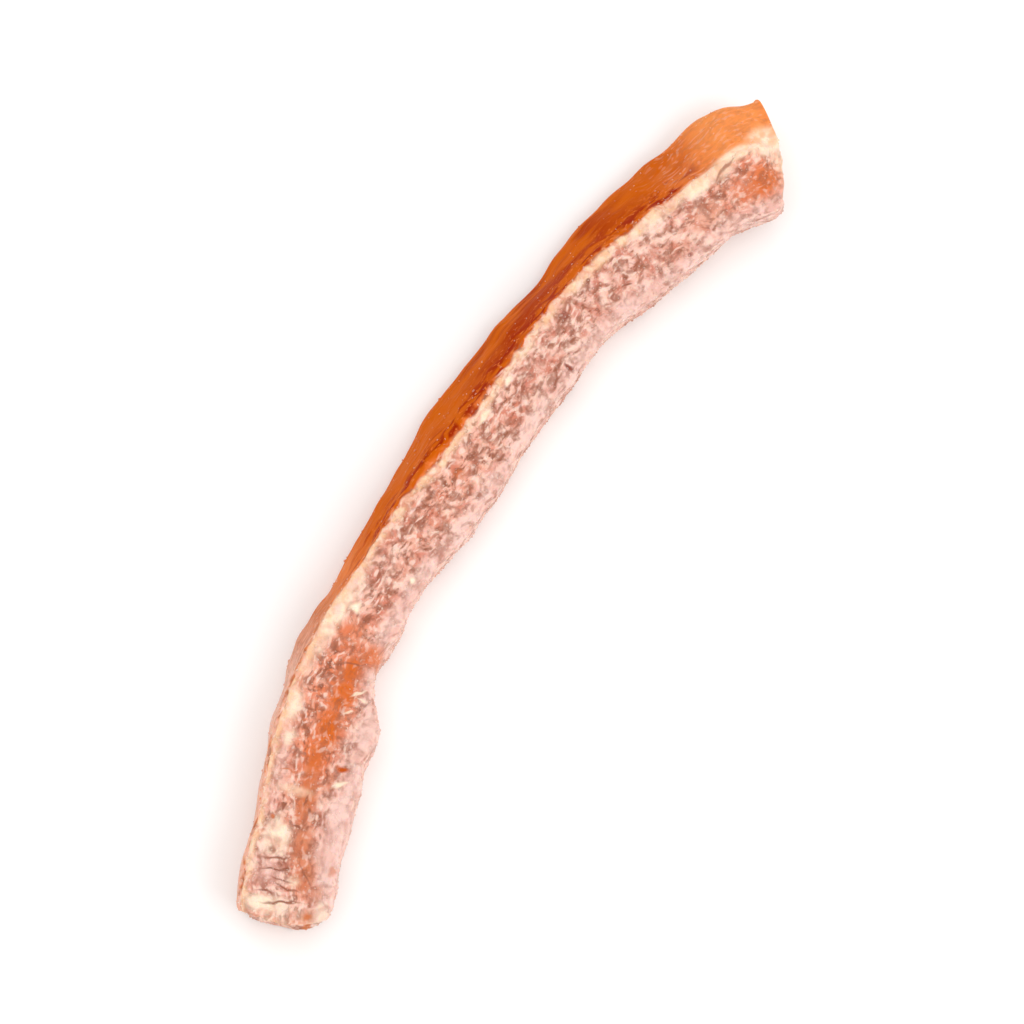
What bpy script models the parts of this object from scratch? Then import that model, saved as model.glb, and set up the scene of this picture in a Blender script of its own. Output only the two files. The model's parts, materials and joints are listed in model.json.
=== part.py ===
"""One strip of dried papaya, lying on its side as it rests on a table. Metres, +Z up.

The strip is a long spear cut from the fruit's wall. Its upper part leans: a steep, bare flank
shows on one side of the ridge and a broad frosted face on the other. Past the bend the strip
twists level, so that only the face looks up. One piece of fruit is one solid.
"""

import math

import bmesh
import bpy
from mathutils import Vector

MM = 0.001
NODE_NAME = "papaya_strip"

# Plan position of the ridge, in mm, from the notched end at the far right to the blunt near end
RIDGE_PATH = (
    (25.3, 36.1), (22.8, 34.6), (19.4, 32.7), (15.0, 29.8), (10.1, 26.1), (5.5, 21.6), (1.6, 16.8),
    (-2.2, 11.5), (-6.2, 6.3), (-10.1, 0.9), (-13.8, -4.8), (-17.2, -10.0), (-20.1, -14.8),
    (-22.3, -19.6), (-23.8, -24.3), (-24.9, -29.1), (-25.8, -33.8), (-26.7, -38.2), (-27.15, -42.1),
)
# How far each side reaches from the ridge at those stations, in mm
FLANK_REACH = (
    5.0, 7.2, 6.4, 5.8, 5.4, 4.0, 4.1, 4.5, 4.2, 3.1, 2.4, 1.8, 2.1, 1.0, 0.3, 0.0, 0.0, -0.1, 0.0,
)
FACE_REACH = (
    5.2, 6.4, 5.3, 6.4, 6.6, 5.5, 6.3, 5.8, 6.6, 7.2, 5.9, 7.2, 6.9, 10.2, 9.7, 9.9, 9.1, 9.5, 9.0,
)

# Heights over the underside, in mm: at the notched end, along the lean, and past the bend
RIDGE_HEIGHTS = (4.9, 8.0, 7.2)
FACE_EDGE_HEIGHTS = (4.3, 5.2, 6.8)
LEAN_STARTS = 1.0
LEAN_ENDS = 9
BEND = 14
NEAR_END_DROP = 0.9

# The strip bows up off the table towards its ends, in mm
FAR_END_LIFT = 2.0
FAR_LIFT_STATIONS = 4.5
NEAR_END_LIFT = 0.8
NEAR_LIFT_STATIONS = 3.0

# Cross-section, in mm; the face is hollow past the bend, where it dried fastest
FACE_DIPS = (0.25, 0.8)
FLANK_SWELL = 0.35
EXTRA_SWELL_AT_FAR_END = 2.2
EXTRA_SWELL_STATIONS = 3.0
FOOT_HEIGHT = 1.4
# The flank's foot is higher at the notched end, where the strip has twisted off the table
EXTRA_FOOT_AT_FAR_END = 0.7
EXTRA_FOOT_STATIONS = 4.0
UNDERSIDE_DROP = 0.8

# Where the corners of the section lie, as shares of the face's or the flank's reach
FACE_INNER_SHARE = 0.36
FACE_OUTER_SHARE = 0.74
WALL_FOOT_SHARE = 0.97
UNDER_FACE_SHARE = 0.70
FLANK_MIDDLE_SHARE = 0.5
UNDER_FLANK_INSET = 0.5

# Ends, in mm: each cut is oblique, its middle stands a little proud and its lower part is undercut
FAR_CUT_SKEW = 0.38
FAR_END_SWELL = 0.2
NEAR_CUT_SKEW = -0.03
FAR_END_UNDERCUT = 1.0
NEAR_END_SWELL = 1.8
NEAR_END_UNDERCUT = 1.9
END_INSET = 1.0

# How crisp the long edges and the cut rims stay, from 0 to 1: along the lean, and past the bend
RIDGE_CREASES = (0.85, 0.4)
FACE_EDGE_CREASES = (0.65, 0.35)
FOOT_CREASES = (0.45, 0.3)
RIM_CREASE = 0.3

# Shrinkage from drying leaves broad waves and smaller puckers, in mm
WAVE_SIZE = 5.0
WAVE_DEPTH = 0.7
PUCKER_SIZE = 2.0
PUCKER_DEPTH = 0.45

# Marks left by cutting and drying: where each lies, how far it spreads, and how it is pushed, in mm
MARKS = (
    # a nick in the face's outer edge, half way along the lean
    ((3.9, 11.4, 4.8), 1.8, (-0.5, 0.35, 0.0)),
    # a pinch on the same edge where the strip bends
    ((-12.4, -16.4, 5.4), 2.6, (-0.6, 0.3, -0.3)),
    # a fold that steps in just past the swelling below the bend
    ((-14.3, -27.6, 5.8), 2.0, (-0.7, 0.0, -0.2)),
    # a dry pit beside that fold
    ((-17.0, -27.9, 6.6), 1.7, (0.0, 0.0, -0.6)),
    # a small lobe low on the flank, opposite the bend
    ((-22.0, -13.6, 3.4), 2.6, (-0.5, 0.2, 0.0)),
    # a long hollow in the middle of the face, below the bend
    ((-17.3, -18.5, 6.9), 3.6, (0.0, 0.0, -0.45)),
    ((-18.6, -23.5, 6.6), 3.4, (0.0, 0.0, -0.35)),
    # the plump lobe where the bare flank ends, and the dent that sets it off
    ((21.9, 38.6, 4.8), 2.7, (-0.2, 0.1, 0.4)),
    ((18.9, 37.5, 4.0), 2.2, (0.3, -0.5, 0.0)),
    # two shallow hollows in the bare flank, where it shrank most
    ((2.5, 23.5, 4.0), 4.0, (0.35, -0.3, 0.0)),
    ((15.5, 34.5, 5.5), 4.0, (0.3, -0.4, 0.0)),
)

RINGS = 33
SMOOTHING_LEVELS = 2
# How far to each side, in stations, the ridge's direction is read
DIRECTION_REACH = 0.6
# Width, length and depth of the block that trims the underside, in metres
CUTTER_SIZE = (0.12, 0.14, 0.01)

SECTION_POINTS = 9
RIDGE, FACE_INNER, FACE_OUTER, FACE_EDGE, WALL_FOOT = 0, 1, 2, 3, 4
UNDER_FACE, UNDER_FLANK, FLANK_FOOT, FLANK_MIDDLE = 5, 6, 7, 8
CREASES = {
    RIDGE: RIDGE_CREASES, FACE_EDGE: FACE_EDGE_CREASES, WALL_FOOT: FOOT_CREASES, FLANK_FOOT: FOOT_CREASES
}

LAST_STATION = len(RIDGE_PATH) - 1
LAST_RING = RINGS - 1


def clear_scene():
    for old in list(bpy.data.objects):
        bpy.data.objects.remove(old, do_unlink=True)


def new_collection(name):
    collection = bpy.data.collections.new(name)
    bpy.context.scene.collection.children.link(collection)
    return collection


def eased(value, start, end):
    """0 before start, 1 after end, and a smooth step between them."""
    share = min(1.0, max(0.0, (value - start) / (end - start)))
    return share * share * (3.0 - 2.0 * share)


def between(values, station):
    """Reads a table between its stations, on a smooth curve through the measured values."""
    index = max(0, min(int(station), LAST_STATION - 1))
    t = station - index
    picks = [values[min(LAST_STATION, max(0, index + step))] for step in (-1, 0, 1, 2)]
    before, start, end, after = picks
    curve = 2.0 * start + (end - before) * t
    curve += (2.0 * before - 5.0 * start + 4.0 * end - after) * t**2
    curve += (3.0 * start - before - 3.0 * end + after) * t**3
    return 0.5 * curve


def past_bend(station, values):
    """Turns smoothly from a value that holds along the lean to one that holds past the bend."""
    leaning, level = values
    return leaning + (level - leaning) * eased(station, LEAN_ENDS, BEND)


def ridge_point(station):
    return between([Vector(point) for point in RIDGE_PATH], station)


def direction_at(station):
    """The ridge's direction in plan at a station."""
    before = ridge_point(max(0.0, station - DIRECTION_REACH))
    after = ridge_point(min(LAST_STATION, station + DIRECTION_REACH))
    return (after - before).normalized()


def height_at(station, heights):
    """A height at a station: the notched end's, then the lean's, then the level part's."""
    far_end, leaning, level = heights
    height = past_bend(station, (leaning, level))
    height -= (leaning - far_end) * (1.0 - eased(station, 0, LEAN_STARTS))
    return height - NEAR_END_DROP * eased(station, LAST_STATION - 1, LAST_STATION)


def lift_at(station):
    far = FAR_END_LIFT * (1.0 - eased(station, 0, FAR_LIFT_STATIONS))
    near = NEAR_END_LIFT * eased(station, LAST_STATION - NEAR_LIFT_STATIONS, LAST_STATION)
    return far + near


def section_at(station):
    """The points round the strip at a station as (towards the flank, up), in mm."""
    flank, face = between(FLANK_REACH, station), between(FACE_REACH, station)
    ridge = height_at(station, RIDGE_HEIGHTS)
    edge = height_at(station, FACE_EDGE_HEIGHTS)
    dip = past_bend(station, FACE_DIPS)
    swell = FLANK_SWELL + EXTRA_SWELL_AT_FAR_END * (1.0 - eased(station, 0, EXTRA_SWELL_STATIONS))
    foot = FOOT_HEIGHT + EXTRA_FOOT_AT_FAR_END * (1.0 - eased(station, 0, EXTRA_FOOT_STATIONS))
    points = [None] * SECTION_POINTS
    points[RIDGE] = (0.0, ridge)
    points[FACE_INNER] = (-FACE_INNER_SHARE * face, ridge - FACE_INNER_SHARE * (ridge - edge) - dip)
    points[FACE_OUTER] = (-FACE_OUTER_SHARE * face, ridge - FACE_OUTER_SHARE * (ridge - edge) - dip)
    points[FACE_EDGE] = (-face, edge)
    points[WALL_FOOT] = (-WALL_FOOT_SHARE * face, FOOT_HEIGHT)
    points[UNDER_FACE] = (-UNDER_FACE_SHARE * face, -UNDERSIDE_DROP)
    points[UNDER_FLANK] = (FLANK_MIDDLE_SHARE * flank - UNDER_FLANK_INSET, -UNDERSIDE_DROP)
    points[FLANK_FOOT] = (flank, foot)
    points[FLANK_MIDDLE] = (FLANK_MIDDLE_SHARE * flank + swell, 0.5 * (ridge + foot))
    return points


def cut_offset(station, sideways, up):
    """How far a point at an end ring moves along the strip, for the oblique, swollen end cut."""
    if station not in (0, LAST_STATION):
        return 0.0
    if station == 0:
        outward, skew, swell, undercut = -1.0, FAR_CUT_SKEW, FAR_END_SWELL, FAR_END_UNDERCUT
    else:
        outward, skew, swell, undercut = 1.0, NEAR_CUT_SKEW, NEAR_END_SWELL, NEAR_END_UNDERCUT
    reach = between(FACE_REACH, station)
    off_middle = (sideways + 0.5 * reach) / reach
    undercut *= 1.0 - eased(up, 0, height_at(station, FACE_EDGE_HEIGHTS))
    return outward * (swell * max(0.0, 1.0 - 2.0 * abs(off_middle)) - undercut + skew * sideways)


def cage_point(ring, corner):
    """Where a corner of the cage goes, in metres."""
    station = ring * LAST_STATION / LAST_RING
    along = direction_at(station)
    flank_side = Vector((along.y, -along.x))
    sideways, up = section_at(station)[corner]
    plan = ridge_point(station) + flank_side * sideways + along * cut_offset(station, sideways, up)
    return Vector((plan.x, plan.y, up + lift_at(station))) * MM


def strip_cage():
    """A nine-sided bar, sliced into rings, with each of its corners moved to the strip's."""
    cage = bmesh.new()
    bmesh.ops.create_cone(
        cage, cap_ends=True, cap_tris=False, segments=SECTION_POINTS, radius1=1, radius2=1, depth=LAST_RING
    )
    for ring in range(1, LAST_RING):
        bmesh.ops.bisect_plane(
            cage,
            geom=cage.verts[:] + cage.edges[:] + cage.faces[:],
            plane_co=(0, 0, ring - LAST_RING / 2),
            plane_no=(0, 0, 1),
        )
    place_of = {}
    for vert in cage.verts:
        turn = math.atan2(vert.co.y, vert.co.x) / math.tau * SECTION_POINTS
        place_of[vert] = (round(vert.co.z + LAST_RING / 2), int(turn % SECTION_POINTS))
    crease = cage.edges.layers.float.new("crease_edge")
    for edge in cage.edges:
        (ring_a, corner_a), (ring_b, corner_b) = (place_of[vert] for vert in edge.verts)
        if ring_a == ring_b and ring_a in (0, LAST_RING):
            edge[crease] = RIM_CREASE
        elif corner_a == corner_b and corner_a in CREASES:
            edge[crease] = past_bend(ring_a * LAST_STATION / LAST_RING, CREASES[corner_a])
    for vert, (ring, corner) in place_of.items():
        vert.co = cage_point(ring, corner)
    ends = [face for face in cage.faces if len(face.verts) == SECTION_POINTS]
    bmesh.ops.inset_individual(cage, faces=ends, thickness=END_INSET * MM)
    bmesh.ops.recalc_face_normals(cage, faces=cage.faces[:])
    return cage


def press_marks(mesh):
    """Pushes the surface round each mark, fading out smoothly to the mark's edge."""
    for place, spread, push in MARKS:
        centre, move = Vector(place) * MM, Vector(push) * MM
        for vert in mesh.vertices:
            distance = (vert.co - centre).length / (spread * MM)
            vert.co += move * (1.0 - eased(distance, 0.0, 1.0))


def centre_in_plan(mesh):
    """Puts the middle of the strip's outline, seen from above, on the part's origin."""
    for axis in (0, 1):
        reach = [vert.co[axis] for vert in mesh.vertices]
        middle = 0.5 * (min(reach) + max(reach))
        for vert in mesh.vertices:
            vert.co[axis] -= middle


def displace(obj, name, size, depth):
    """Pushes the surface in and out by a cloud pattern of this size and depth, in mm."""
    pattern = bpy.data.textures.new(name, "CLOUDS")
    pattern.noise_scale = size * MM
    pattern.noise_depth = 1
    relief = obj.modifiers.new(name, "DISPLACE")
    relief.texture = pattern
    relief.strength = depth * MM
    relief.mid_level = 0.5


def table_cutter(collection):
    """A block below the table's surface, which leaves the strip a flat underside."""
    bpy.ops.mesh.primitive_cube_add(size=1)
    cutter = bpy.context.object
    cutter.name = "table_cutter"
    cutter.scale = CUTTER_SIZE
    cutter.location.z = -0.5 * CUTTER_SIZE[2]
    bpy.ops.object.transform_apply(location=True, rotation=False, scale=True)
    for holder in list(cutter.users_collection):
        holder.objects.unlink(cutter)
    collection.objects.link(cutter)
    cutter.display_type = "WIRE"
    cutter.hide_render = True
    return cutter


def flesh_material():
    """Candied papaya flesh under a dry bloom of sugar."""
    flesh = bpy.data.materials.new("frosted_papaya_flesh")
    flesh.use_nodes = True
    surface = flesh.node_tree.nodes["Principled BSDF"]
    surface.inputs["Base Color"].default_value = (0.72, 0.27, 0.12, 1.0)
    surface.inputs["Roughness"].default_value = 0.62
    surface.inputs["Metallic"].default_value = 0.0
    surface.inputs["Subsurface Weight"].default_value = 0.25
    return flesh


def build_strip(collection, cutter):
    mesh = bpy.data.meshes.new(NODE_NAME)
    cage = strip_cage()
    cage.to_mesh(mesh)
    cage.free()
    strip = bpy.data.objects.new(NODE_NAME, mesh)
    collection.objects.link(strip)
    smoothing = strip.modifiers.new("smoothing", "SUBSURF")
    smoothing.levels = SMOOTHING_LEVELS
    smoothing.render_levels = SMOOTHING_LEVELS
    displace(strip, "drying_waves", WAVE_SIZE, WAVE_DEPTH)
    displace(strip, "puckers", PUCKER_SIZE, PUCKER_DEPTH)
    bpy.context.view_layer.objects.active = strip
    for modifier in list(strip.modifiers):
        bpy.ops.object.modifier_apply(modifier=modifier.name)
    press_marks(mesh)
    centre_in_plan(mesh)
    flat = strip.modifiers.new("flat_underside", "BOOLEAN")
    flat.operation = "DIFFERENCE"
    flat.object = cutter
    mesh.materials.append(flesh_material())
    mesh.shade_smooth()
    return strip


def main():
    clear_scene()
    papaya = new_collection("dried_papaya")
    cutters = new_collection("cutters")
    build_strip(papaya, table_cutter(cutters))


main()
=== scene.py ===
"""Looks of one strip of dried papaya: candied flesh, a crust of sugar, and a plain studio.

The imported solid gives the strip's form. Here it gets its fine relief, its frosted face and bare
flank, the marks that drying left, and the grains of sugar that cling to it. Lengths are in
millimetres where a name or a comment doesn't say metres.
"""

import json
import math

import bpy
import numpy as np
from bpy.props import FloatProperty, FloatVectorProperty, IntProperty, PointerProperty
from mathutils import Color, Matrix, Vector

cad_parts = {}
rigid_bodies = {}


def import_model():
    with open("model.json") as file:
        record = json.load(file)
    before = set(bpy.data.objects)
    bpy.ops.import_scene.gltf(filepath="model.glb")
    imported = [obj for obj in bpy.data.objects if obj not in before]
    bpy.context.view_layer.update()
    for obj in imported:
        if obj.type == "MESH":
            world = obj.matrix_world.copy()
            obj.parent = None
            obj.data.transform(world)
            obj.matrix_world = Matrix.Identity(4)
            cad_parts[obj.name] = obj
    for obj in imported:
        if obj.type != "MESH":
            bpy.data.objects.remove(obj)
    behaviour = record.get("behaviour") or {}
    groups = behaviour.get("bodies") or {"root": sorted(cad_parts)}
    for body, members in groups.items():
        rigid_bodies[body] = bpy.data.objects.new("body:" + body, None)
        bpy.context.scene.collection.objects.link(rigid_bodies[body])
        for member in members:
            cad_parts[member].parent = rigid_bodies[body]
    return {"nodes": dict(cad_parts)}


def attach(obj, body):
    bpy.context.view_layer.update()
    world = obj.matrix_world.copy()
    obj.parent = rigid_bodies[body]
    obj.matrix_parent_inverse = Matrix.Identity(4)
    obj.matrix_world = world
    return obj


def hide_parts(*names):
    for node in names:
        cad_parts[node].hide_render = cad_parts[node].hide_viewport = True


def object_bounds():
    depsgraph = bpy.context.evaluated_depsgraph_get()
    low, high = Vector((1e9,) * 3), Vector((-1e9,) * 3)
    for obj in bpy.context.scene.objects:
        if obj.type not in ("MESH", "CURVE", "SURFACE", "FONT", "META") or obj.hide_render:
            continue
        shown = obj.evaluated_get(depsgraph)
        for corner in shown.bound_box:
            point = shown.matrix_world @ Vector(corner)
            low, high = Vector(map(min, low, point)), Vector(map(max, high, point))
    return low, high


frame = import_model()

bl_info = {
    "name": "Dried papaya strip",
    "version": (1, 0, 0),
    "blender": (4, 5, 0),
    "location": "3D View > Sidebar > Papaya",
    "description": "Candied flesh, sugar and a studio for a strip of dried papaya",
    "category": "Object",
}

MM = 0.001
NODE = "papaya_strip"
BODY = "root"
CAD_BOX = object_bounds()

# The strip's ridge in plan, from its notched end to its blunt end, as the solid has it
RIDGE_PATH = (
    (25.6, 37.2), (23.1, 35.7), (19.7, 33.8), (15.3, 30.9), (10.4, 27.2), (5.8, 22.7), (1.9, 17.9),
    (-1.9, 12.6), (-5.9, 7.4), (-9.8, 2.0), (-13.5, -3.7), (-16.9, -8.9), (-19.8, -13.7),
    (-22.0, -18.5), (-23.5, -23.2), (-24.6, -28.0), (-25.5, -32.7), (-26.4, -37.1), (-26.9, -41.0),
)
CURVE_STEPS = 24

# Points of the mesh are set against the ridge in blocks of this many, which saves memory
BLOCK = 20000

# The solid's surface is merged, paired into quads up to these angles in degrees, and subdivided
MERGE_DISTANCE = 0.01
FLATNESS = 50
SQUARENESS = 60
FINER_LEVELS = 2

# Places on the strip are given as how far along the ridge from the notched end, and how far from
# the ridge round the strip: the frosted face is on the minus side, the bare flank on the plus side.
# Each soft patch is an oval: along, across, half its length, half its width, and its strength.
PATCHES = {
    # sugar that lies thick and creamy: on the notched end's cut, along the ridge, on the level part
    "cream": (
        (0.3, 0.0, 2.9, 2.2, 1.0), (4.0, 0.2, 3.6, 1.0, 0.9), (7.8, -0.5, 4.6, 1.1, 1.0),
        (14.0, -0.6, 4.0, 0.8, 0.6), (66.0, -0.7, 8.0, 1.2, 0.9), (76.0, -1.0, 3.2, 1.1, 0.8),
        (79.2, -1.5, 1.5, 0.8, 0.8), (84.4, -3.0, 0.8, 2.6, 0.8), (89.3, -2.4, 2.8, 1.8, 0.85),
        (96.6, -2.6, 1.3, 2.8, 0.85), (93.6, -5.0, 1.1, 0.8, 0.7), (97.0, -8.0, 1.7, 1.0, 0.7),
    ),
    # dry white bloom
    "pale": (
        (88.8, -8.1, 7.5, 2.4, 0.9), (82.4, -8.7, 3.0, 1.4, 0.8), (76.5, -9.0, 4.0, 1.6, 0.7),
        (60.5, -5.6, 6.0, 1.6, 0.6), (24.0, -5.6, 9.0, 1.8, 0.5), (81.5, -1.4, 10.0, 1.3, 0.6),
        (93.4, -2.3, 2.4, 2.2, 0.85),
    ),
    # syrup that soaked through the bloom
    "stain": (
        (66.6, -2.8, 2.8, 2.0, 0.6), (67.4, -5.8, 2.4, 2.0, 0.9), (70.0, -4.8, 3.0, 1.8, 1.0),
        (72.8, -5.1, 3.6, 2.0, 1.0), (77.0, -4.9, 4.2, 1.8, 1.0), (80.7, -4.5, 3.2, 1.7, 1.0),
        (2.4, -3.4, 3.2, 2.2, 0.8), (85.0, -4.6, 5.0, 1.3, 0.45),
    ),
    # flesh that browned as it dried
    "brown": (
        (85.0, -4.5, 5.0, 1.5, 0.85), (89.8, -4.9, 3.6, 1.7, 0.85), (93.0, -6.0, 3.4, 1.5, 0.8),
        (94.8, -7.2, 1.8, 1.4, 0.6), (97.4, -6.7, 1.2, 1.1, 0.8), (82.6, -6.4, 1.3, 1.0, 0.5),
        (4.4, -3.3, 2.2, 1.7, 0.35), (9.6, -3.1, 3.0, 1.9, 0.4), (13.5, -4.4, 2.6, 1.4, 0.3),
    ),
    # flesh that shows through a thin bloom
    "blush": (
        (75.0, -4.2, 17.0, 5.2, 0.95), (72.7, -1.9, 3.2, 1.5, 0.7), (4.0, -3.0, 6.5, 3.8, 0.9),
        (92.5, -6.0, 6.0, 2.4, 0.6), (48.0, -3.0, 15.0, 4.0, 0.35), (98.8, -4.5, 1.6, 5.5, 0.9),
    ),
}

# Each crisp mark is an oval too: along, across, half its length, half its width, how far it is
# turned from the ridge in degrees, its colour, its strength, and how far it sinks, from 0 to 1
# Marks in the crevice colour are dark flesh in cracks, nicks and wrinkles, with painted shade in their
# hollows
MARKS = (
    # the line under the creamy patch at the notched end
    (5.5, -0.6, 1.7, 0.16, -22, "crevice_and_shade", 0.7, 0.8),
    # specks and a nick on the leaning face
    (23.3, -0.9, 0.32, 0.24, 0, "crevice_and_shade", 0.9, 0.8), (27.7, -1.4, 0.5, 0.26, -30, "pit", 0.75, 0.8),
    (16.6, -6.1, 0.45, 0.3, 20, "crevice_and_shade", 0.6, 0.5), (12.9, -5.2, 0.3, 0.22, 0, "pit", 0.7, 0.5),
    (28.4, -5.0, 0.4, 0.25, 0, "crevice_and_shade", 0.5, 0.4), (31.3, -4.7, 0.3, 0.46, 20, "pit", 0.95, 1.0),
    (33.3, -4.6, 1.1, 0.15, -8, "crevice_and_shade", 0.8, 0.9), (42.8, -4.3, 0.62, 0.22, 8, "crevice_and_shade", 0.9, 0.9),
    (46.7, -2.3, 0.85, 0.5, 20, "brown", 0.6, 0.5), (19.4, -3.0, 0.4, 0.2, 50, "crevice_and_shade", 0.7, 0.7),
    (37.6, -3.2, 0.35, 0.18, -40, "crevice_and_shade", 0.7, 0.7), (53.0, -2.6, 0.4, 0.2, 30, "crevice_and_shade", 0.7, 0.7),
    # beads of sugar, and two bloom marks on the ridge that are painted highlights there, raised a little
    (36.4, -0.8, 0.6, 0.3, 0, "cream", 0.9, -0.6), (40.6, -0.9, 1.0, 0.3, 5, "cream", 0.9, -0.6),
    (58.4, -4.9, 0.38, 0.36, 0, "cream", 1.0, -0.9), (64.0, -2.0, 0.62, 0.56, 0, "cream", 1.0, -1.0),
    (62.1, -0.5, 1.0, 0.38, 0, "bloom", 0.6, -0.5), (65.3, -0.6, 0.8, 0.34, 0, "bloom", 0.6, -0.5),
    # the fold where the strip bends, and the syrup round it
    (66.3, -2.4, 0.9, 0.5, 30, "blush", 0.7, 0.2), (69.4, -4.2, 2.5, 0.14, 60, "crevice_and_shade", 0.6, 0.9),
    (71.9, -6.4, 0.9, 0.16, 45, "cream", 0.8, -0.4), (72.5, -7.0, 0.6, 0.13, 100, "cream", 0.7, -0.4),
    (74.6, -6.2, 0.45, 0.15, 60, "cream", 0.7, -0.4), (75.6, -2.6, 0.7, 0.14, 75, "crevice_and_shade", 0.6, 0.7),
    (73.6, -2.2, 0.8, 0.13, 65, "crevice_and_shade", 0.6, 0.7),
    # the pit beside the fold, and the crust that it lifted
    (81.2, -7.4, 0.42, 0.75, 0, "syrup", 1.0, 0.9), (82.8, -7.5, 0.26, 0.9, -30, "cream", 0.9, -0.6),
    # specks on the level part
    (85.2, -4.5, 0.75, 0.15, 8, "crevice_and_shade", 0.8, 0.8), (86.2, -5.1, 0.35, 0.17, 0, "crevice_and_shade", 0.9, 0.8),
    (88.0, -4.2, 0.42, 0.2, 70, "crevice_and_shade", 0.95, 0.9), (92.6, -5.9, 1.5, 0.14, -33, "crevice_and_shade", 0.7, 0.8),
    (87.4, -1.6, 0.34, 0.3, 0, "brown", 0.9, 0.6), (90.7, -2.2, 0.36, 0.3, 90, "crevice_and_shade", 0.7, 0.6),
    (82.6, -2.2, 0.9, 0.12, 80, "brown", 0.7, 0.5), (92.0, -8.4, 0.5, 0.4, 0, "brown", 0.5, 0.3),
    # wrinkles across the blunt end
    (91.6, -2.8, 1.6, 0.13, 76, "crevice_and_shade", 0.85, 1.0), (92.7, -3.1, 1.7, 0.14, 80, "crevice_and_shade", 0.85, 1.0),
    (93.8, -3.6, 1.2, 0.12, 100, "crevice_and_shade", 0.7, 1.0), (94.6, -4.3, 1.3, 0.14, 104, "crevice_and_shade", 0.85, 1.0),
    (95.3, -2.3, 0.9, 0.15, 95, "crevice_and_shade", 0.85, 1.0), (96.2, -4.1, 2.0, 0.14, 84, "crevice_and_shade", 0.9, 1.0),
    (97.4, -6.7, 0.4, 0.45, 0, "brown", 0.9, 0.6),
)

# A mark fades out at MARK_REACH times its half length and width, and has its full strength where
# the fade is past MARK_FULL. It is taller than the strip, so that height doesn't fade it.
MARK_REACH = 1.35
MARK_FULL = 0.75
MARK_HEIGHT = 1000.0

# How far the sugared edge lies from the ridge, towards the flank: millimetres along, and the shift
EDGE_SHIFTS = (
    (0.0, 0.35), (5.0, 0.1), (12.0, -0.1), (22.0, -0.1), (28.0, -0.25), (36.0, -0.25), (42.0, -0.7),
    (48.0, -0.65), (53.0, -0.15), (66.0, -0.1),
)

# The bare flank's colour along the strip: millimetres from the notched end, and the colour there
FLANK_TONES = (
    (0.0, "flank_bright"), (4.5, "flank_bright"), (8.0, "flank_edge"), (12.5, "flank_warm"),
    (19.0, "flank"), (34.0, "flank"), (42.0, "flank_warm"), (56.0, "flank_warm"),
    (61.0, "flank_edge"), (66.0, "brown"), (73.0, "wall"),
)
TONES_LENGTH = 100.0

# The crust's patterns wander with a slow drift, and the crisp marks and fine wrinkles with a finer
# one: the drift's size, and how far it moves what is drawn
DRIFT = (1.6, 0.9)
WAVER = (1.0, 0.6)

# Drying drew some patterns out along the strip: what along, round and up are multiplied by there
COMBED = (0.5, 1.0, 1.0)
FLANK_WAVES = (0.3, 1.0, 1.0)
FLANK_STREAKS = (0.35, 1.0, 1.0)

# The cells between wrinkles, and between fine wrinkles, are about this wide
WRINKLE_CELL = 1.15
FINE_WRINKLE_CELL = 0.7

# Sugar crystals: how long, wide and tall each shape is for its size, how its top narrows, and how
# far it may lean, in radians
CRYSTAL_SHAPES = ((1.0, 0.8, 0.75), (0.8, 0.85, 0.7), (1.2, 0.7, 0.65))
CRYSTAL_TOP = (0.6, 0.5, 1.0)
CRYSTAL_LEAN = 0.5

# The share of the loose crystals that bare flesh, soaked frost and browned flesh have shed
SUGAR_LOSSES = (("bare", 0.93), ("stain", 0.6), ("brown", 0.5))

# The stage: the floor's width in metres, how strongly the white room shines, and each softbox:
# its name, its place and its width in metres, and its power in watts
FLOOR_WIDTH = 4.0
ROOM_STRENGTH = 0.9
SOFTBOXES = (
    ("softbox_right", (0.35, -0.25, 0.55), 0.4, 1.3),
    ("softbox_above", (-0.05, 0.15, 0.8), 0.7, 1.1),
)


def linear(hex_colour):
    """An sRGB hex colour as linear red, green and blue."""
    channels = [int(hex_colour[start:start + 2], 16) / 255 for start in (0, 2, 4)]
    return tuple(c / 12.92 if c <= 0.04045 else ((c + 0.055) / 1.055) ** 2.4 for c in channels)


def colour_setting(name, description, hex_colour):
    """A colour that the panel shows."""
    return FloatVectorProperty(
        name=name, description=description, default=linear(hex_colour),
        subtype="COLOR", size=3, min=0, max=1,
    )


def length_setting(name, description, millimetres):
    """A length that the panel shows, kept in metres."""
    return FloatProperty(
        name=name, description=description, default=millimetres * MM,
        unit="LENGTH", subtype="DISTANCE", min=0, precision=5,
    )


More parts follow.
